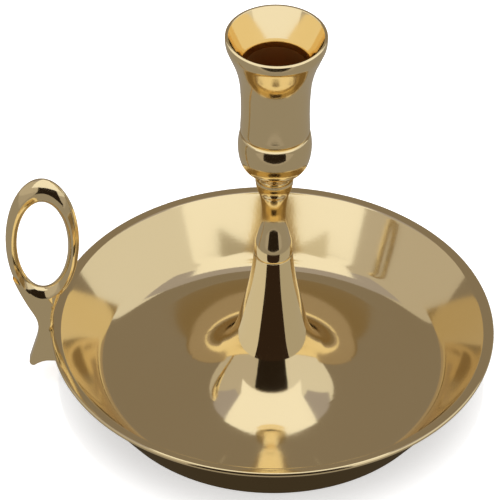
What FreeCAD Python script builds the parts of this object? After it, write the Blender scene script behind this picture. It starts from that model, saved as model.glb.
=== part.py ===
import FreeCAD, Part
import math
import os
import Sketcher

# Brass chamber candlestick: a dished drip pan with a ring handle, a hollow trumpet
# foot, a turned stem and a candle socket. One threaded rod clamps the column together.
# Millimetres, +Z up, the table at Z = 0, the candle's axis on Z, the handle towards -X.

Vector = FreeCAD.Vector
doc = FreeCAD.newDocument("candlestick")
sheet = doc.addObject("Spreadsheet::Sheet", "Sizes")

SIZES = {
    # Drip pan: a turned casting, a cone outside, with a thick rounded lip.
    "rim_radius": 82.5, "rim_height": 27.0, "lip_curve": 0.95,
    "lip_edge_radius": 82.15, "lip_edge_height": 25.31, "lip_root_curve": 24.8,
    "lip_root_radius": 77.4, "lip_root_height": 20.3,
    "lip_top_radius": 79.72, "lip_inner_curve": 1.6,
    "lip_inner_radius": 78.42, "lip_inner_height": 26.33,
    "wall_angle": 54.5, "wall_thickness": 2.65,
    "wall_foot_radius": 65.68, "wall_foot_height": 8.47, "corner_curve": 12.1,
    "floor_radius": 55.83, "floor_height": 3.4, "floor_curve": 77.2,
    "floor_inner_radius": 36.0, "floor_inner_height": 5.99,
    "seam_radius": 30.0, "seam_height": 8.26, "ledge_depth": 2.2,
    "web_radius": 33.0, "web_height": 3.8, "glue_face_radius": 46.0,
    "base_radius": 63.4, "base_height": 0.7,
    "hub_radius": 13.0, "hub_foot_radius": 17.0, "hub_under_height": 9.8,
    "hub_thickness": 2.4,
    # Felt disc let into the underside, standing proud of the metal.
    "felt_radius": 61.8, "felt_thickness": 1.2, "felt_gap": 0.3,
    # Trumpet foot: hollow, a flare, a short cone, then a sweep down to the pan's floor.
    "trumpet_top_height": 63.0, "trumpet_top_radius": 7.23, "trumpet_edge": 0.15,
    "throat_radius": 9.64, "throat_height": 45.57, "throat_curve": 129.6,
    "flare_radius": 12.87, "flare_height": 30.18, "flare_curve": 29.06,
    "flare_tilt": 11.85, "trumpet_wall": 2.4,
    "cone_top_radius": 18.41, "cone_top_height": 18.26, "cone_tilt": 38.0,
    "cone_foot_radius": 19.47, "cone_foot_height": 16.9, "foot_curve": 31.1,
    "foot_mid_radius": 22.8, "foot_mid_height": 8.75,
    "foot_inner_radius": 25.5, "foot_inner_height": 8.0,
    "cavity_top_radius": 5.2, "cavity_top_height": 56.0,
    # Turned stem: knop, slender neck and a collar like a bead.
    "knop_foot_radius": 6.75, "knop_foot_curve": 3.8,
    "knop_radius": 7.2, "knop_height": 64.8, "knop_curve": 22.7,
    "knop_shoulder_radius": 6.48, "knop_shoulder_height": 70.4,
    "neck_foot_radius": 5.25, "neck_foot_height": 75.3, "neck_lower_curve": 29.4,
    "neck_radius": 4.43, "neck_height": 82.2, "neck_upper_curve": 43.3,
    "neck_top_radius": 5.65, "neck_top_height": 92.4,
    "bead_foot_radius": 5.85, "bead_foot_height": 92.7, "bead_curve": 16.6,
    "collar_radius": 7.05, "collar_edge": 0.15, "stem_top_height": 99.3,
    # Candle socket: a round bulb, a turned groove and a cup that flares to its lip.
    "bulb_foot_radius": 7.2, "bulb_foot_edge": 0.15, "bulb_cove_curve": 6.4,
    "bulb_under_radius": 9.6, "bulb_under_height": 103.8, "bulb_under_curve": 8.0,
    "bulb_side_radius": 12.74, "bulb_side_height": 108.2, "bulb_side_curve": 24.0,
    "bulb_radius": 13.56, "bulb_height": 114.4, "bulb_top_curve": 25.0,
    "groove_low_radius": 12.97, "groove_low_height": 119.8, "groove_low_curve": 0.9,
    "groove_radius": 12.35, "groove_height": 120.7, "groove_high_curve": 6.4,
    "cup_foot_radius": 12.78, "cup_foot_height": 123.0, "cup_foot_curve": 134.0,
    "waist_radius": 12.57, "waist_height": 130.5, "waist_curve": 141.0,
    "cup_mid_radius": 13.0, "cup_mid_height": 141.5, "cup_flare_curve": 44.7,
    "cup_flare_radius": 15.7, "cup_flare_height": 153.5,
    "cup_brim_radius": 17.9, "cup_brim_height": 159.2, "cup_brim_curve": 9.0,
    "cup_lip_radius": 18.58, "cup_lip_foot_height": 162.4, "cup_lip_edge": 0.3,
    "cup_height": 164.4,
    "mouth_radius": 17.7, "mouth_edge": 0.3,
    "mouth_side_radius": 17.42, "mouth_side_height": 164.21, "mouth_curve": 88.0,
    "mouth_foot_radius": 11.8, "mouth_foot_height": 153.0,
    "bore_radius": 11.3, "bore_top_height": 150.5, "bore_floor_height": 122.5,
    "bore_corner": 0.8,
    # Tie rod, washer, spring washer and nut.
    "rod_radius": 2.5, "rod_low_height": 2.6, "rod_top_height": 111.5,
    "rod_chamfer": 0.4, "rod_clearance": 0.2, "rod_socket_height": 112.0,
    "washer_radius": 5.0, "washer_thickness": 1.0,
    "spring_washer_radius": 4.4, "spring_washer_thickness": 1.2, "spring_washer_cut": 0.8,
    "nut_flats": 8.0, "nut_thickness": 4.0,
    # Ring handle: an oval finger ring of pointed section on a short shank.
    "ring_centre_x": -85.1, "ring_half_depth": 3.0, "ridge_land": 0.15,
    "ring_outer_width": 13.6, "ring_outer_rise": 29.35, "ring_outer_height": 67.35,
    "ring_ridge_width": 11.4, "ring_ridge_rise": 25.4, "ring_ridge_height": 66.7,
    "ring_inner_width": 9.4, "ring_inner_rise": 20.35, "ring_inner_height": 65.65,
    # Shank: down the outer side, round the spur, then up the inner side past the lip.
    "shank_depth": 5.6, "shank_edge": 1.2, "shank_top_height": 48.0,
    "crown_outer_x": -93.5, "shoulder_x": -96.2, "shoulder_height": 50.2,
    "shoulder_curve": 105.0, "calf_x": -88.6, "calf_height": 33.0, "calf_curve": 13.2,
    "neck_outer_x": -87.0, "neck_outer_height": 26.3, "neck_outer_curve": 25.4,
    "heel_x": -87.9, "heel_height": 19.6,
    "spur_x": -90.4, "spur_height": 10.3, "spur_curve": 1.5,
    "spur_under_x": -88.0, "spur_under_height": 8.74, "spur_under_curve": 8.74,
    "sole_x": -83.6, "sole_height": 10.7, "root_low_x": -66.0,
    "root_high_x": -74.0, "root_high_height": 21.5,
    "neck_inner_x": -82.3, "neck_inner_height": 26.0,
    "neck_bend_x": -81.2, "neck_bend_height": 29.0, "neck_bend_curve": 22.0,
    "shin_x": -80.2, "shin_height": 38.0, "knee_x": -78.6, "knee_height": 43.1,
    # Rivets that hold the shank to the wall of the pan.
    "rivet_radius": 1.5, "rivet_head_radius": 2.4, "rivet_head_depth": 0.9,
    "rivet_low_height": 15.5, "rivet_high_height": 20.5, "rivet_reach": 4.0,
}
for row, (alias, value) in enumerate(SIZES.items(), 1):
    sheet.set(f"A{row}", alias)
    sheet.set(f"B{row}", str(value))
    sheet.setAlias(f"B{row}", alias)
doc.recompute()


def cells(words):
    """An expression on the sheet's cells, from the plain words of an outline."""
    return " ".join("Sizes." + word if word in SIZES else word for word in words.split())


def amount(words):
    """The number that those words come to."""
    value = sheet.evalExpression(cells(words))
    return float(getattr(value, "Value", value))


def bind(thing, **properties):
    """Bind properties to expressions; a double underscore stands for a dot."""
    for name, words in properties.items():
        thing.setExpression(name.replace("__", "."), cells(words))


LEFT, RIGHT = 1, -1     # the side of travel on which an arc's centre lies


def arc_between(start, end, radius, side):
    """The shorter arc from start to end, and whether it runs backwards."""
    chord = end - start
    middle = (start + end) * 0.5
    offset = math.sqrt(max(radius ** 2 - (chord.Length / 2) ** 2, 0.0))
    normal = Vector(-chord.y, chord.x, 0).normalize() * side
    centre = middle + normal * offset
    circle = Part.Circle(centre, Vector(0, 0, 1), radius)
    first, last = (start, end) if side == LEFT else (end, start)
    angles = [math.atan2(p.y - centre.y, p.x - centre.x) for p in (first, last)]
    if angles[1] < angles[0]:
        angles[1] += 2 * math.pi
    return Part.ArcOfCircle(circle, *angles), side == RIGHT


def draw_outline(body, name, stations):
    """Sketch a closed outline on the body's XZ plane, each station bound to the sheet.

    A station is (x, z) where a straight edge leaves it, or (x, z, radius, side) where
    an arc does."""
    plane = next(f for f in body.Origin.OriginFeatures if f.Role == "XZ_Plane")
    sketch = body.newObject("Sketcher::SketchObject", name)
    sketch.AttachmentSupport = [(plane, "")]
    sketch.MapMode = "FlatFace"
    points = [Vector(amount(s[0]), amount(s[1]), 0) for s in stations]
    ends = []
    for index, station in enumerate(stations):
        start, end = points[index], points[(index + 1) % len(points)]
        if len(station) == 2:
            sketch.addGeometry(Part.LineSegment(start, end))
            ends.append((1, 2))
            continue
        arc, backwards = arc_between(start, end, amount(station[2]), station[3])
        sketch.addGeometry(arc)
        ends.append((2, 1) if backwards else (1, 2))
    for index, station in enumerate(stations):
        following = (index + 1) % len(stations)
        sketch.addConstraint(Sketcher.Constraint(
            "Coincident", index, ends[index][1], following, ends[following][0]))
        for kind, words, value in (("DistanceX", station[0], points[index].x),
                                   ("DistanceY", station[1], points[index].y)):
            made = sketch.addConstraint(Sketcher.Constraint(
                kind, -1, 1, index, ends[index][0], value))
            sketch.setExpression(f"Constraints[{made}]", cells(words))
        if len(station) == 4:
            made = sketch.addConstraint(Sketcher.Constraint(
                "Radius", index, amount(station[2])))
            sketch.setExpression(f"Constraints[{made}]", cells(station[2]))
    return sketch


def turned(name, stations):
    """A body turned about the Z axis from its outline."""
    body = doc.addObject("PartDesign::Body", name)
    sketch = draw_outline(body, name + "_outline", stations)
    spun = body.newObject("PartDesign::Revolution", name + "_turning")
    spun.Profile = sketch
    spun.ReferenceAxis = (sketch, ["V_Axis"])
    spun.Angle = 360.0
    return body


def cut(name, base, *tools):
    """What is left of base once every tool is taken away."""
    for index, tool in enumerate(tools):
        result = doc.addObject("Part::Cut", name if tool is tools[-1] else f"{name}_{index}")
        result.Base = base
        result.Tool = tool
        base = result
    return base


nodes = {}

# ---- Rivets: two brass pins through the wall, countersunk and dressed flush inside ----
rivets = []
for place in ("low", "high"):
    rivet = turned(f"rivet_{place}", [
        ("0", "- rivet_reach"),
        ("rivet_radius", "- rivet_reach"),
        ("rivet_radius", "wall_thickness - rivet_head_depth"),
        ("rivet_head_radius", "wall_thickness"),
        ("0", "wall_thickness"),
    ])
    rivet.Placement = FreeCAD.Placement(
        Vector(0, 0, 0), FreeCAD.Rotation(Vector(0, 1, 0), amount("wall_angle")))
    height = f"rivet_{place}_height"
    bind(rivet,
         Placement__Base__x=f"- base_radius - ( {height} - base_height ) / tan( wall_angle )",
         Placement__Base__z=height,
         Placement__Rotation__Angle="wall_angle * 1deg")
    rivets.append(rivet)
handle_rivets = doc.addObject("Part::Compound", "rivet_pair")
handle_rivets.Links = rivets
nodes["handle_rivets"] = handle_rivets

# ---- Drip pan: turned casting with a stepped seat for the foot and a raised hub ----
OUTER_WALL = [
    ("base_radius", "base_height"),
    ("lip_root_radius", "lip_root_height", "lip_root_curve", RIGHT),
    ("lip_edge_radius", "lip_edge_height", "lip_curve", LEFT),
    ("rim_radius - lip_curve", "rim_height"),
]
pan_body = turned("pan_body", OUTER_WALL + [
    ("lip_top_radius", "rim_height", "lip_inner_curve", LEFT),
    ("lip_inner_radius", "lip_inner_height"),
    ("wall_foot_radius", "wall_foot_height", "corner_curve", RIGHT),
    ("floor_radius", "floor_height", "floor_curve", RIGHT),
    ("floor_inner_radius", "floor_inner_height", "foot_curve", RIGHT),
    ("seam_radius", "seam_height"),
    ("seam_radius", "seam_height - ledge_depth"),
    ("hub_foot_radius + hub_thickness / 2", "seam_height - ledge_depth"),
    ("hub_radius + hub_thickness / 2", "hub_under_height + hub_thickness"),
    ("rod_radius + rod_clearance", "hub_under_height + hub_thickness"),
    ("rod_radius + rod_clearance", "hub_under_height"),
    ("hub_radius", "hub_under_height"),
    ("hub_foot_radius", "web_height"),
    ("web_radius", "web_height"),
    ("glue_face_radius", "felt_thickness"),
    ("felt_radius + felt_gap", "felt_thickness"),
    ("felt_radius + felt_gap", "base_height"),
])
nodes["drip_pan"] = cut("pan", pan_body, handle_rivets)

# ---- Felt disc glued into the shallow recess under the pan ----
felt = doc.addObject("Part::Cylinder", "felt_disc")
bind(felt, Radius="felt_radius", Height="felt_thickness")
nodes["felt_base"] = felt

# ---- Trumpet foot: hollow casting that drops into the seat of the pan ----
nodes["trumpet_foot"] = turned("trumpet", [
    ("seam_radius", "seam_height - ledge_depth"),
    ("seam_radius", "seam_height", "foot_curve", RIGHT),
    ("cone_foot_radius", "cone_foot_height"),
    ("cone_top_radius", "cone_top_height", "flare_curve", RIGHT),
    ("flare_radius", "flare_height"),
    ("throat_radius", "throat_height", "throat_curve", RIGHT),
    ("trumpet_top_radius", "trumpet_top_height - trumpet_edge", "trumpet_edge", LEFT),
    ("trumpet_top_radius - trumpet_edge", "trumpet_top_height"),
    ("rod_radius + rod_clearance", "trumpet_top_height"),
    ("rod_radius + rod_clearance", "cavity_top_height"),
    ("cavity_top_radius", "cavity_top_height"),
    ("flare_radius - trumpet_wall * cos( flare_tilt )",
     "flare_height - trumpet_wall * sin( flare_tilt )", "flare_curve + trumpet_wall", LEFT),
    ("cone_top_radius - trumpet_wall * cos( cone_tilt )",
     "cone_top_height - trumpet_wall * sin( cone_tilt )"),
    ("foot_mid_radius", "foot_mid_height"),
    ("foot_inner_radius", "foot_inner_height"),
    ("foot_inner_radius", "seam_height - ledge_depth"),
])

# ---- Turned stem: knop, neck and collar, drilled through for the rod ----
nodes["turned_stem"] = turned("stem", [
    ("rod_radius + rod_clearance", "trumpet_top_height"),
    ("knop_foot_radius", "trumpet_top_height", "knop_foot_curve", LEFT),
    ("knop_radius", "knop_height", "knop_curve", LEFT),
    ("knop_shoulder_radius", "knop_shoulder_height"),
    ("neck_foot_radius", "neck_foot_height", "neck_lower_curve", RIGHT),
    ("neck_radius", "neck_height", "neck_upper_curve", RIGHT),
    ("neck_top_radius", "neck_top_height"),
    ("bead_foot_radius", "bead_foot_height", "bead_curve", LEFT),
    ("collar_radius", "stem_top_height - collar_edge", "collar_edge", LEFT),
    ("collar_radius - collar_edge", "stem_top_height"),
    ("rod_radius + rod_clearance", "stem_top_height"),
])

# ---- Candle socket: bulb and cup in one turning, bored for the candle from above and
# threaded for the rod from below ----
nodes["candle_socket"] = turned("socket", [
    ("rod_radius", "stem_top_height"),
    ("bulb_foot_radius - bulb_foot_edge", "stem_top_height", "bulb_foot_edge", LEFT),
    ("bulb_foot_radius", "stem_top_height + bulb_foot_edge", "bulb_cove_curve", RIGHT),
    ("bulb_under_radius", "bulb_under_height", "bulb_under_curve", LEFT),
    ("bulb_side_radius", "bulb_side_height", "bulb_side_curve", LEFT),
    ("bulb_radius", "bulb_height", "bulb_top_curve", LEFT),
    ("groove_low_radius", "groove_low_height", "groove_low_curve", LEFT),
    ("groove_radius", "groove_height", "groove_high_curve", LEFT),
    ("cup_foot_radius", "cup_foot_height", "cup_foot_curve", RIGHT),
    ("waist_radius", "waist_height", "waist_curve", RIGHT),
    ("cup_mid_radius", "cup_mid_height", "cup_flare_curve", RIGHT),
    ("cup_flare_radius", "cup_flare_height"),
    ("cup_brim_radius", "cup_brim_height", "cup_brim_curve", LEFT),
    ("cup_lip_radius", "cup_lip_foot_height"),
    ("cup_lip_radius", "cup_height - cup_lip_edge", "cup_lip_edge", LEFT),
    ("cup_lip_radius - cup_lip_edge", "cup_height"),
    ("mouth_radius", "cup_height", "mouth_edge", LEFT),
    ("mouth_side_radius", "mouth_side_height", "mouth_curve", RIGHT),
    ("mouth_foot_radius", "mouth_foot_height"),
    ("bore_radius", "bore_top_height"),
    ("bore_radius", "bore_floor_height + bore_corner", "bore_corner", RIGHT),
    ("bore_radius - bore_corner", "bore_floor_height"),
    ("0", "bore_floor_height"),
    ("0", "rod_socket_height"),
    ("rod_radius", "rod_socket_height"),
])

# ---- Tie rod: a threaded rod from the socket's bulb down to the nut under the hub ----
nodes["tie_rod"] = turned("rod", [
    ("0", "rod_low_height"),
    ("rod_radius - rod_chamfer", "rod_low_height"),
    ("rod_radius", "rod_low_height + rod_chamfer"),
    ("rod_radius", "rod_top_height - rod_chamfer"),
    ("rod_radius - rod_chamfer", "rod_top_height"),
    ("0", "rod_top_height"),
])


def flat_ring(name, radius, low, high):
    """A washer: a flat ring round the rod between two heights."""
    return turned(name, [
        ("rod_radius + rod_clearance / 2", low),
        (radius, low),
        (radius, high),
        ("rod_radius + rod_clearance / 2", high),
    ])


# ---- Washer, split spring washer and hexagon nut, stacked down from the hub ----
WASHER_FOOT = "hub_under_height - washer_thickness"
SPRING_FOOT = WASHER_FOOT + " - spring_washer_thickness"
NUT_FOOT = SPRING_FOOT + " - nut_thickness"
nodes["washer"] = flat_ring("flat_washer", "washer_radius", WASHER_FOOT, "hub_under_height")
spring_ring = flat_ring("spring_ring", "spring_washer_radius", SPRING_FOOT, WASHER_FOOT)
split = doc.addObject("Part::Box", "spring_split")
bind(split, Length="spring_washer_radius", Width="spring_washer_cut",
     Height="2 * spring_washer_thickness", Placement__Base__y="- spring_washer_cut / 2",
     Placement__Base__z=SPRING_FOOT + " - spring_washer_thickness / 2")
nodes["spring_washer"] = cut("split_ring", spring_ring, split)
hexagon = doc.addObject("Part::Prism", "nut_hexagon")
hexagon.Polygon = 6
bind(hexagon, Circumradius="nut_flats / sqrt( 3 )", Height="nut_thickness",
     Placement__Base__z=NUT_FOOT)
nut_thread = doc.addObject("Part::Cylinder", "nut_thread")
bind(nut_thread, Radius="rod_radius", Height="nut_thickness", Placement__Base__z=NUT_FOOT)
nodes["hex_nut"] = cut("nut", hexagon, nut_thread)


def oval(name, width, rise, depth, height):
    """An upright oval on the ring's centre line, at a depth along Y and a height."""
    ellipse = doc.addObject("Part::Ellipse", name)
    ellipse.Placement = FreeCAD.Placement(
        Vector(0, 0, 0), FreeCAD.Rotation(Vector(1, 1, 1), 240))
    bind(ellipse, MajorRadius=rise, MinorRadius=width,
         Placement__Base__x="ring_centre_x", Placement__Base__y=depth,
         Placement__Base__z=height)
    return ellipse


def barrel(name, side, middle):
    """A solid through three ovals: the ridge on each face, the crown half way between.

    side is 1 or -1: the ridge's land lies outside the ridge or inside it."""
    width = f"ring_ridge_width + {side} * ridge_land"
    rise = f"ring_ridge_rise + {side} * ridge_land"
    solid = doc.addObject("Part::Loft", name)
    solid.Sections = [
        oval(name + "_front", width, rise, "- ring_half_depth", "ring_ridge_height"),
        oval(name + "_middle", f"ring_{middle}_width", f"ring_{middle}_rise", "0",
             f"ring_{middle}_height"),
        oval(name + "_back", width, rise, "ring_half_depth", "ring_ridge_height"),
    ]
    solid.Solid = True
    return solid


# ---- Ring handle: a crowned oval ring on a shank cut to the cone of the pan's wall ----
ring = barrel("ring_outside", 1, "outer")
finger_hole = barrel("finger_hole", -1, "inner")
shank = doc.addObject("PartDesign::Body", "shank_body")
shank_outline = draw_outline(shank, "shank_outline", [
    ("ring_centre_x", "shank_top_height"),
    ("crown_outer_x", "shank_top_height"),
    ("shoulder_x", "shoulder_height", "shoulder_curve", LEFT),
    ("calf_x", "calf_height", "calf_curve", RIGHT),
    ("neck_outer_x", "neck_outer_height", "neck_outer_curve", RIGHT),
    ("heel_x", "heel_height"),
    ("spur_x", "spur_height", "spur_curve", LEFT),
    ("spur_under_x", "spur_under_height", "spur_under_curve", RIGHT),
    ("sole_x", "sole_height"),
    ("root_low_x", "sole_height"),
    ("root_high_x", "root_high_height"),
    ("neck_inner_x", "neck_inner_height"),
    ("neck_bend_x", "neck_bend_height", "neck_bend_curve", RIGHT),
    ("shin_x", "shin_height"),
    ("knee_x", "knee_height"),
    ("knee_x", "shank_top_height"),
])
shank_pad = shank.newObject("PartDesign::Pad", "shank_pad")
shank_pad.Profile = shank_outline
shank_pad.Midplane = True
bind(shank_pad, Length="shank_depth")
doc.recompute()
half_depth = amount("shank_depth") / 2
face_edges = [f"Edge{number}" for number, edge in enumerate(shank_pad.Shape.Edges, 1)
              if all(math.isclose(abs(v.Y), half_depth) for v in edge.Vertexes)
              and edge.CenterOfMass.z < amount("knee_height")]
shank_round = shank.newObject("PartDesign::Fillet", "shank_round")
shank_round.Base = (shank_pad, face_edges)
bind(shank_round, Radius="shank_edge")
handle_blank = doc.addObject("Part::Fuse", "handle_blank")
handle_blank.Base = ring
handle_blank.Tool = shank
wall_cone = turned("wall_cone", [("0", "base_height")] + OUTER_WALL + [("0", "rim_height")])
nodes["ring_handle"] = cut("handle", handle_blank, finger_hole, wall_cone, handle_rivets)

doc.recompute()
for thing in doc.Objects:
    if {"Invalid", "Error"} & set(thing.State):
        raise RuntimeError(f"{thing.Name} did not rebuild: {thing.State}")
os.makedirs("parts", exist_ok=True)
for name, thing in nodes.items():
    shape = thing.Shape
    if shape.isNull() or not shape.isValid():
        raise RuntimeError(f"{name} is not a sound shape")
    thing.Label = name
    shape.exportStep(f"parts/{name}.step")
    box = shape.BoundBox
    print(f"{name}: {len(shape.Solids)} solid, {shape.Volume / 1000:.2f} cm3, "
          f"x {box.XMin:.2f} to {box.XMax:.2f}, y {box.YMin:.2f} to {box.YMax:.2f}, "
          f"z {box.ZMin:.2f} to {box.ZMax:.2f}")
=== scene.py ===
import math

import bmesh
import bpy
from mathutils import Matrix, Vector


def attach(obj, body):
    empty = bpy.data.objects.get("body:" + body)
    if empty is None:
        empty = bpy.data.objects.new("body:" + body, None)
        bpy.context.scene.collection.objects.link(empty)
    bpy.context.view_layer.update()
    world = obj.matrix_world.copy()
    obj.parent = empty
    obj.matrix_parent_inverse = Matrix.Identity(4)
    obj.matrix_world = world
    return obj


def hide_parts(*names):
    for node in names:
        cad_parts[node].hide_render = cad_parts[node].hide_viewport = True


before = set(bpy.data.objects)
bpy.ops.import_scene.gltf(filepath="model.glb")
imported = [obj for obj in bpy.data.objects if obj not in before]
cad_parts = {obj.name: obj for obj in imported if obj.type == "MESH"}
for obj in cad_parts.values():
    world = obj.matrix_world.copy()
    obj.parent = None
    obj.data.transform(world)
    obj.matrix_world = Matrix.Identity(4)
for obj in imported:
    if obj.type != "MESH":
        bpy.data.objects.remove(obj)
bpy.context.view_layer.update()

# ---- Drip pan ----
# A dished casting in yellow brass, turned all over on the lathe and buffed to a mirror.
# A thick rounded lip runs round it, and a ledge round the middle takes the trumpet foot.
MM = 0.001
TURNS = 256              # steps round the axis
STEP = 1.0               # longest step along an outline, mm
BEND = 0.08              # widest turn in one step along an arc, radians
WELD = 1e-4              # points nearer to each other than this are one, mm
CORNER = 0.5             # edges sharper than this stay crisp, radians
LEFT, RIGHT = 1, -1      # the side of travel on which an arc's centre lies


def trace(shape, outline):
    """Draw a closed outline of straight runs and arcs in the XZ plane of a new shape.

    A station is (x, z) where a straight run leaves it, or (x, z, radius, side) where
    an arc does, in millimetres."""
    start = (outline[0][0], 0, outline[0][1])
    first = tip = bmesh.ops.create_vert(shape, co=start)["vert"][0]
    for station, after in zip(outline, outline[1:] + outline[:1]):
        start = Vector((station[0], 0, station[1]))
        end = Vector((after[0], 0, after[1]))
        chord = end - start
        if len(station) == 2:
            pieces = max(1, math.ceil(chord.length / STEP))
            for _ in range(pieces):
                tip = bmesh.ops.extrude_vert_indiv(shape, verts=[tip])["verts"][0]
                tip.co += chord / pieces
            continue
        radius, side = station[2:]
        across = Vector((-chord.z, 0, chord.x)).normalized() * side
        centre = (start + end) / 2 + across * math.sqrt(radius ** 2 - chord.length_squared / 4)
        sweep = 2 * math.asin(chord.length / 2 / radius)
        pieces = max(2, math.ceil(radius * sweep / STEP), math.ceil(sweep / BEND))
        arc = bmesh.ops.spin(shape, geom=[tip], cent=centre, axis=(0, -side, 0),
                             angle=sweep, steps=pieces)
        tip = next(e for e in arc["geom_last"] if isinstance(e, bmesh.types.BMVert))
    bmesh.ops.pointmerge(shape, verts=[first, tip], merge_co=first.co)


def finished(name, shape, node):
    """Hand a shape over as a named piece: outward faces, smooth but for its corners."""
    bmesh.ops.remove_doubles(shape, verts=shape.verts, dist=WELD)
    bmesh.ops.dissolve_degenerate(shape, edges=shape.edges, dist=WELD / 10)
    bmesh.ops.recalc_face_normals(shape, faces=shape.faces)
    bmesh.ops.scale(shape, vec=(MM, MM, MM), verts=shape.verts)
    for face in shape.faces:
        face.smooth = True
    for edge in shape.edges:
        edge.smooth = edge.calc_face_angle(0) < CORNER
    mesh = bpy.data.meshes.new(name)
    shape.to_mesh(mesh)
    shape.free()
    piece = bpy.data.objects.new(name, mesh)
    bpy.context.collection.objects.link(piece)
    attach(piece, "root")
    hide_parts(node)
    return piece


def turned(name, node, outline):
    """A brass turning about the candle's axis."""
    shape = bmesh.new()
    trace(shape, outline)
    bmesh.ops.spin(shape, geom=shape.verts[:] + shape.edges[:], cent=(0, 0, 0),
                   axis=(0, 0, 1), angle=2 * math.pi, steps=TURNS, use_merge=True)
    return finished(name, shape, node)


def coat(piece, material):
    """Give a piece one finish all over."""
    piece.data.materials.clear()
    piece.data.materials.append(material)


class Wire:
    """One socket of a shader; arithmetic on it adds the Math nodes that work it out."""

    def __init__(self, tree, socket=None):
        self.tree, self.socket = tree, socket

    def node(self, kind, sockets, settings=None, out=0):
        """Add any node: its settings first, then the values or wires of its sockets."""
        made = self.tree.nodes.new(kind)
        for key, value in (settings or {}).items():
            setattr(made, key, value)
        for key, value in sockets.items():
            if isinstance(value, Wire):
                self.tree.links.new(value.socket, made.inputs[key])
            else:
                made.inputs[key].default_value = value
        return Wire(self.tree, made.outputs[out] if made.outputs else None)

    def maths(self, how, one, other):
        return self.node("ShaderNodeMath", {0: one, 1: other}, {"operation": how})

    def __add__(self, other):
        return self.maths("ADD", self, other)

    def __sub__(self, other):
        return self.maths("SUBTRACT", self, other)

    def __rsub__(self, other):
        return self.maths("SUBTRACT", other, self)

    def __mul__(self, other):
        return self.maths("MULTIPLY", self, other)

    __radd__, __rmul__ = __add__, __mul__

    def above(self, limit):
        return self.maths("GREATER_THAN", self, limit)

    def below(self, limit):
        return self.maths("LESS_THAN", self, limit)


def blank(name):
    """A new material with nothing in it, and a wire to build its nodes with."""
    material = bpy.data.materials.new(name)
    material.use_nodes = True
    material.node_tree.nodes.clear()
    return material, Wire(material.node_tree)


BORE_RADIUS, BORE_FLOOR, BORE_TOP = 0.0116, 0.122, 0.1505    # the candle's bore, metres


def brass():
    """Yellow brass off the buffing wheel: a mirror with faint waves, swirls and smears.

    The bore for the candle is left rough and has gone dark brown."""
    material, build = blank("polished_brass")
    place = build.node("ShaderNodeTexCoord", {}, out="Object")
    smears = build.node("ShaderNodeTexNoise",
                        {"Vector": place, "Scale": 38.0, "Detail": 4.0, "Roughness": 0.6})
    patches = build.node("ShaderNodeTexNoise", {"Vector": place, "Scale": 14.0, "Detail": 3.0})
    wheel = build.node("ShaderNodeTexNoise", {"Vector": place, "Scale": 900.0, "Detail": 2.0})
    waves = build.node("ShaderNodeTexNoise", {"Vector": place, "Scale": 34.0, "Detail": 1.0})
    tint = build.node("ShaderNodeMix", {0: patches * 1.6 - 0.45, 6: (0.885, 0.725, 0.425, 1),
                                        7: (0.905, 0.755, 0.465, 1)},
                      {"data_type": "RGBA"}, out=2)
    swirls = build.node("ShaderNodeBump",
                        {"Strength": 0.02, "Distance": 0.0002, "Height": wheel})
    worn = build.node("ShaderNodeBump", {"Strength": 0.5, "Distance": 0.0002,
                                         "Height": waves, "Normal": swirls})
    across, along, up = (build.node("ShaderNodeSeparateXYZ", {"Vector": place}, out=n)
                         for n in range(3))
    spread = across * across + along * along
    bore = spread.below(BORE_RADIUS ** 2) * up.above(BORE_FLOOR) * up.below(BORE_TOP)
    colour = build.node("ShaderNodeMix", {0: bore, 6: tint, 7: (0.5, 0.25, 0.08, 1)},
                        {"data_type": "RGBA"}, out=2)
    metal = build.node("ShaderNodeBsdfPrincipled",
                       {"Base Color": colour, "Metallic": 1.0,
                        "Roughness": smears * 0.08 + bore * 0.4 + 0.05, "Normal": worn})
    build.node("ShaderNodeOutputMaterial", {"Surface": metal})
    return material


polished_brass = brass()
drip_pan = turned("pan_turning", "drip_pan", [
    (63.4, 0.7), (77.4, 20.3, 24.8, RIGHT), (82.15, 25.31, 0.95, LEFT), (81.55, 27.0),
    (79.72, 27.0, 1.6, LEFT), (78.42, 26.33), (65.68, 8.47, 12.1, RIGHT),
    (55.83, 3.4, 77.2, RIGHT), (36.0, 5.99, 31.1, RIGHT), (30.0, 8.26), (30.0, 6.06),
    (18.2, 6.06), (14.2, 12.2), (2.7, 12.2), (2.7, 9.8), (13.0, 9.8), (17.0, 3.8),
    (33.0, 3.8), (46.0, 1.2), (62.1, 1.2), (62.1, 0.7)])
coat(drip_pan, polished_brass)

# ---- Ring handle ----
# One casting: a flat shank with a turned-out spur at its foot, and above it an upright
# oval finger ring, filed to a ridge on both faces. Two flush rivets hold it to the pan.


def dressed(name, node):
    """The CAD solid of a node over again, its seams closed and its faces shaded smooth."""
    shape = bmesh.new()
    shape.from_mesh(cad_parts[node].data)
    bmesh.ops.scale(shape, vec=(1 / MM, 1 / MM, 1 / MM), verts=shape.verts)
    return finished(name, shape, node)


ring_handle = dressed("handle_casting", "ring_handle")
coat(ring_handle, polished_brass)
coat(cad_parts["handle_rivets"], polished_brass)

# ---- Trumpet foot ----
# A hollow casting turned to a trumpet: it drops on the ledge of the pan, and its flare
# runs on into the floor without a step.
trumpet_foot = turned("trumpet_turning", "trumpet_foot", [
    (30.0, 6.06), (30.0, 8.26, 31.1, RIGHT), (19.47, 16.9), (18.41, 18.26, 29.06, RIGHT),
    (12.87, 30.18), (9.64, 45.57, 129.6, RIGHT), (7.23, 62.85, 0.15, LEFT), (7.08, 63.0),
    (2.7, 63.0), (2.7, 56.0), (5.2, 56.0), (10.52, 29.69, 31.46, LEFT), (16.52, 16.78),
    (22.8, 8.75), (25.5, 8.0), (25.5, 6.06)])
coat(trumpet_foot, polished_brass)

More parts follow.
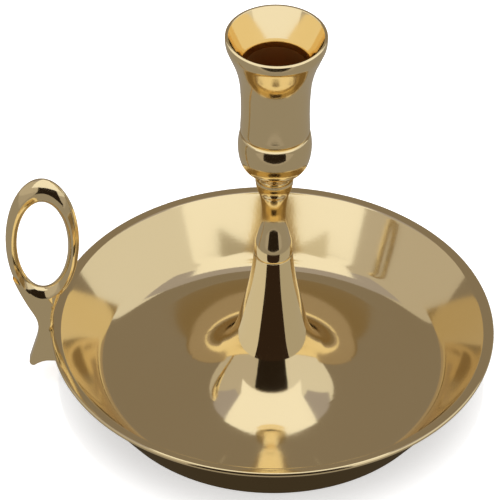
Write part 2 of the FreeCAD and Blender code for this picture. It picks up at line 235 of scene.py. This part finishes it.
# ---- Turned stem ----
# A short bar turning between foot and socket: a knop, a slender neck and a collar,
# drilled through for the tie rod.
turned_stem = turned("stem_turning", "turned_stem", [
    (2.7, 63.0), (6.75, 63.0, 3.8, LEFT), (7.2, 64.8, 22.7, LEFT), (6.48, 70.4),
    (5.25, 75.3, 29.4, RIGHT), (4.43, 82.2, 43.3, RIGHT), (5.65, 92.4),
    (5.85, 92.7, 16.6, LEFT), (7.05, 99.15, 0.15, LEFT), (6.9, 99.3), (2.7, 99.3)])
coat(turned_stem, polished_brass)

# ---- Candle socket ----
# Bulb, turned groove and flared cup in one turning, bored from above for the candle.
candle_socket = turned("socket_turning", "candle_socket", [
    (2.5, 99.3), (7.05, 99.3, 0.15, LEFT), (7.2, 99.45, 6.4, RIGHT), (9.6, 103.8, 8.0, LEFT),
    (12.74, 108.2, 24.0, LEFT), (13.56, 114.4, 25.0, LEFT), (12.97, 119.8, 0.9, LEFT),
    (12.35, 120.7, 6.4, LEFT), (12.78, 123.0, 134.0, RIGHT), (12.57, 130.5, 141.0, RIGHT),
    (13.0, 141.5, 44.7, RIGHT), (15.7, 153.5), (17.9, 159.2, 9.0, LEFT), (18.58, 162.4),
    (18.58, 164.1, 0.3, LEFT), (18.28, 164.4), (17.7, 164.4, 0.3, LEFT),
    (17.42, 164.21, 88.0, RIGHT), (11.8, 153.0), (11.3, 150.5), (11.3, 123.3, 0.8, RIGHT),
    (10.5, 122.5), (0.0, 122.5), (0.0, 112.0), (2.5, 112.0)])
coat(candle_socket, polished_brass)

# ---- Tie rod, washers and nut ----
# Zinc-plated steel: a threaded rod up the middle of the column, and under the pan's hub
# a flat washer, a split spring washer and a hexagon nut that draw it all together.


def steel():
    """Bright zinc plate, a little cloudy."""
    material, build = blank("plated_steel")
    place = build.node("ShaderNodeTexCoord", {}, out="Object")
    cloud = build.node("ShaderNodeTexNoise", {"Vector": place, "Scale": 220.0, "Detail": 3.0})
    tint = build.node("ShaderNodeMix", {0: cloud, 6: (0.56, 0.56, 0.55, 1),
                                        7: (0.68, 0.68, 0.66, 1)},
                      {"data_type": "RGBA"}, out=2)
    metal = build.node("ShaderNodeBsdfPrincipled",
                       {"Base Color": tint, "Metallic": 1.0, "Roughness": cloud * 0.2 + 0.2})
    build.node("ShaderNodeOutputMaterial", {"Surface": metal})
    return material


plated_steel = steel()
for node in ("tie_rod", "washer", "spring_washer", "hex_nut"):
    coat(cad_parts[node], plated_steel)

# ---- Felt base ----
# A disc of green wool felt, die cut and glued into the recess under the pan.


def felt():
    """Pressed wool: matt and mottled, with a fine nap."""
    material, build = blank("green_felt")
    place = build.node("ShaderNodeTexCoord", {}, out="Object")
    mottle = build.node("ShaderNodeTexNoise", {"Vector": place, "Scale": 160.0, "Detail": 5.0})
    nap = build.node("ShaderNodeTexNoise", {"Vector": place, "Scale": 2200.0, "Detail": 3.0})
    tint = build.node("ShaderNodeMix", {0: mottle * 1.4 - 0.2, 6: (0.035, 0.12, 0.065, 1),
                                        7: (0.065, 0.2, 0.115, 1)},
                      {"data_type": "RGBA"}, out=2)
    fuzz = build.node("ShaderNodeBump", {"Strength": 0.6, "Distance": 0.0004, "Height": nap})
    wool = build.node("ShaderNodeBsdfPrincipled",
                      {"Base Color": tint, "Roughness": 0.95, "Normal": fuzz,
                       "Sheen Weight": 0.3})
    build.node("ShaderNodeOutputMaterial", {"Surface": wool})
    return material


coat(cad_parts["felt_base"], felt())

# ---- Studio ----
# A plain pale floor under soft light. Lit and dark panels for the brass to mirror stand
# round the candlestick, out of the camera's sight.


def glowing(name, shape, strength, tint, one_sided=False):
    """Make a shape an evenly lit panel out of the camera's sight."""
    mesh = bpy.data.meshes.new(name)
    shape.to_mesh(mesh)
    shape.free()
    panel = bpy.data.objects.new(name, mesh)
    bpy.context.collection.objects.link(panel)
    material, build = blank(name)
    glow = build.node("ShaderNodeEmission", {"Color": (*tint, 1), "Strength": strength})
    if one_sided:
        behind = build.node("ShaderNodeNewGeometry", {}, out="Backfacing")
        clear = build.node("ShaderNodeBsdfTransparent", {})
        glow = build.node("ShaderNodeMixShader", {0: behind, 1: glow, 2: clear})
    build.node("ShaderNodeOutputMaterial", {"Surface": glow})
    mesh.materials.append(material)
    panel.visible_camera = False
    panel.visible_shadow = False
    return panel


def card(name, corners, strength, tint=(1, 1, 1)):
    """A flat panel between its corners."""
    shape = bmesh.new()
    verts = [bmesh.ops.create_vert(shape, co=corner)["vert"][0] for corner in corners]
    bmesh.ops.contextual_create(shape, geom=verts)
    return glowing(name, shape, strength, tint)


def screen(name, start, end, strength, tint):
    """A round panel before the foot, from one bearing to another, lit on its inner side."""
    bearing = math.radians(start)
    across, along = SCREEN_RADIUS * math.sin(bearing), -SCREEN_RADIUS * math.cos(bearing)
    shape = bmesh.new()
    upright = [bmesh.ops.create_vert(shape, co=(across, along, height))["vert"][0]
               for height in (SCREEN_FOOT, SCREEN_TOP)]
    edge = bmesh.ops.contextual_create(shape, geom=upright)["edges"]
    bmesh.ops.spin(shape, geom=upright + edge, cent=(0, 0, 0), axis=(0, 0, 1),
                   angle=math.radians(end - start), steps=24)
    return glowing(name, shape, strength, tint, one_sided=True)


def sheet(name, size, height, colour):
    """A level square of one colour: matt, and glowing a little to keep shadows pale."""
    shape = bmesh.new()
    bmesh.ops.create_grid(shape, x_segments=1, y_segments=1, size=size)
    bmesh.ops.translate(shape, verts=shape.verts, vec=(0, 0, height))
    mesh = bpy.data.meshes.new(name)
    shape.to_mesh(mesh)
    shape.free()
    level = bpy.data.objects.new(name, mesh)
    bpy.context.collection.objects.link(level)
    material, build = blank(name)
    matt = build.node("ShaderNodeBsdfPrincipled",
                      {"Base Color": (*colour, 1), "Roughness": 1.0,
                       "Emission Color": (1, 1, 1, 1), "Emission Strength": 0.6})
    build.node("ShaderNodeOutputMaterial", {"Surface": matt})
    mesh.materials.append(material)
    return level


floor = sheet("floor", 6.0, 0.0, (0.93, 0.93, 0.93))
floor.visible_glossy = False

# In the brass the floor is a dull table top that ends in front, with the lighter floor
# of the room beyond it. Under the pan it lies in shadow.
TABLE_EDGE = -0.178
table_top = card("table_top", [(-3, TABLE_EDGE, 0.0002), (3, TABLE_EDGE, 0.0002),
                               (3, 3, 0.0002), (-3, 3, 0.0002)], 0.33, (1.0, 0.92, 0.82))
room_floor = card("room_floor", [(-3, -3, 0.00005), (3, -3, 0.00005),
                                 (3, TABLE_EDGE, 0.00005), (-3, TABLE_EDGE, 0.00005)],
                  0.42, (1.0, 0.92, 0.85))
for level in (table_top, room_floor):
    level.visible_diffuse = False
# A dim glowing disc under the pan is painted shadow: the table's shade there, for the brass to
# mirror.
SHADE_RADIUS, SHADE_SIDES = 0.08, 48
bearings = [math.tau * side / SHADE_SIDES for side in range(SHADE_SIDES)]
card("shade", [(SHADE_RADIUS * math.cos(bearing), SHADE_RADIUS * math.sin(bearing), 0.0004)
               for bearing in bearings], 0.05, (1.0, 0.75, 0.45))

# A soft box over the front of the pan, one pane upright and one level, and a dark
# upright panel in front of it.
BOX_HALF, BOX_FRONT, BOX_TOP = 0.155, -0.1, 0.2
card("dark_front", [(-0.126, -0.2, 0.0), (0.126, -0.2, 0.0), (0.126, -0.2, 0.22),
                    (-0.126, -0.2, 0.22)], 0.02, (1.0, 0.7, 0.5))
card("near_box", [(-BOX_HALF, BOX_FRONT, 0.118), (0, BOX_FRONT, 0.1085),
                  (BOX_HALF, BOX_FRONT, 0.118), (BOX_HALF, BOX_FRONT, BOX_TOP),
                  (-BOX_HALF, BOX_FRONT, BOX_TOP)], 1.0)
card("roof", [(-BOX_HALF, BOX_FRONT, BOX_TOP), (BOX_HALF, BOX_FRONT, BOX_TOP),
              (0.07, 0.038, BOX_TOP), (-0.07, 0.038, BOX_TOP)], 1.0)

# The ceiling and the walls of the room.
ROOM_HALF, ROOM_FRONT, ROOM_BACK, ROOM_HEIGHT = 1.4, -2.5, 0.6, 2.6
card("ceiling", [(-0.9, -0.3, 0.9), (0.9, -0.3, 0.9), (0.9, 0.25, 0.9),
                 (-0.9, 0.25, 0.9)], 0.42, (0.95, 0.9, 1.0))
for name, x, strength, tint in (("left_wall", -ROOM_HALF, 0.52, (1.0, 0.93, 0.86)),
                                ("right_wall", ROOM_HALF, 0.75, (1.0, 0.98, 0.95))):
    card(name, [(x, ROOM_FRONT, 0), (x, ROOM_BACK, 0), (x, ROOM_BACK, ROOM_HEIGHT),
                (x, ROOM_FRONT, ROOM_HEIGHT)], strength, tint)
card("front_wall", [(-3, -2.6, 0), (3, -2.6, 0), (3, -2.6, ROOM_HEIGHT),
                    (-3, -2.6, ROOM_HEIGHT)], 0.5, (1.0, 0.93, 0.86))

# A low round screen close before the trumpet: pale at the sides, dark in the middle.
# Seen from outside it is clear, so the front of the pan doesn't mirror it.
SCREEN_RADIUS, SCREEN_FOOT, SCREEN_TOP = 0.02, 0.0242, 0.061
DARK_HALF, SCREEN_HALF = 30, 95      # bearings either side of the front, degrees
screen("screen_left", -SCREEN_HALF, -DARK_HALF, 0.66, (1.0, 0.94, 0.82))
screen("screen_dark", -DARK_HALF, DARK_HALF, 0.03, (1.0, 0.6, 0.4))
screen("screen_right", DARK_HALF, SCREEN_HALF, 0.45, (1.0, 0.93, 0.8))

# Dim warm surroundings, and a broad lamp overhead that lights the floor.
world = bpy.data.worlds.new("room")
world.use_nodes = True
bpy.context.scene.world = world
ground = world.node_tree.nodes["Background"]
ground.inputs["Color"].default_value = (0.25, 0.215, 0.18, 1)
ground.inputs["Strength"].default_value = 1.0

lamp = bpy.data.lights.new("fill", "SUN")
lamp.energy = 2.6
lamp.angle = math.radians(60)
fill = bpy.data.objects.new("fill", lamp)
fill.rotation_euler = (math.radians(12), 0, 0)
fill.visible_glossy = False
bpy.context.collection.objects.link(fill)

# ---- Camera ----
# A long lens, looking down on the pan from in front with the ring on the left.
ELEVATION = math.radians(39.95)
DISTANCE = 2.477
AIM = Vector((-0.0086, 0, 0.064))
lens = bpy.data.cameras.new("camera")
lens.lens = 484.0
lens.sensor_width = 36.0
lens.clip_start = 0.05
camera = bpy.data.objects.new("camera", lens)
camera.location = AIM + DISTANCE * Vector((0, -math.cos(ELEVATION), math.sin(ELEVATION)))
camera.rotation_euler = (math.pi / 2 - ELEVATION, 0, 0)
camera.rotation_euler.rotate_axis("Z", math.radians(0.67))
bpy.context.collection.objects.link(camera)
bpy.context.scene.camera = camera
bpy.context.scene.view_settings.view_transform = "Standard"
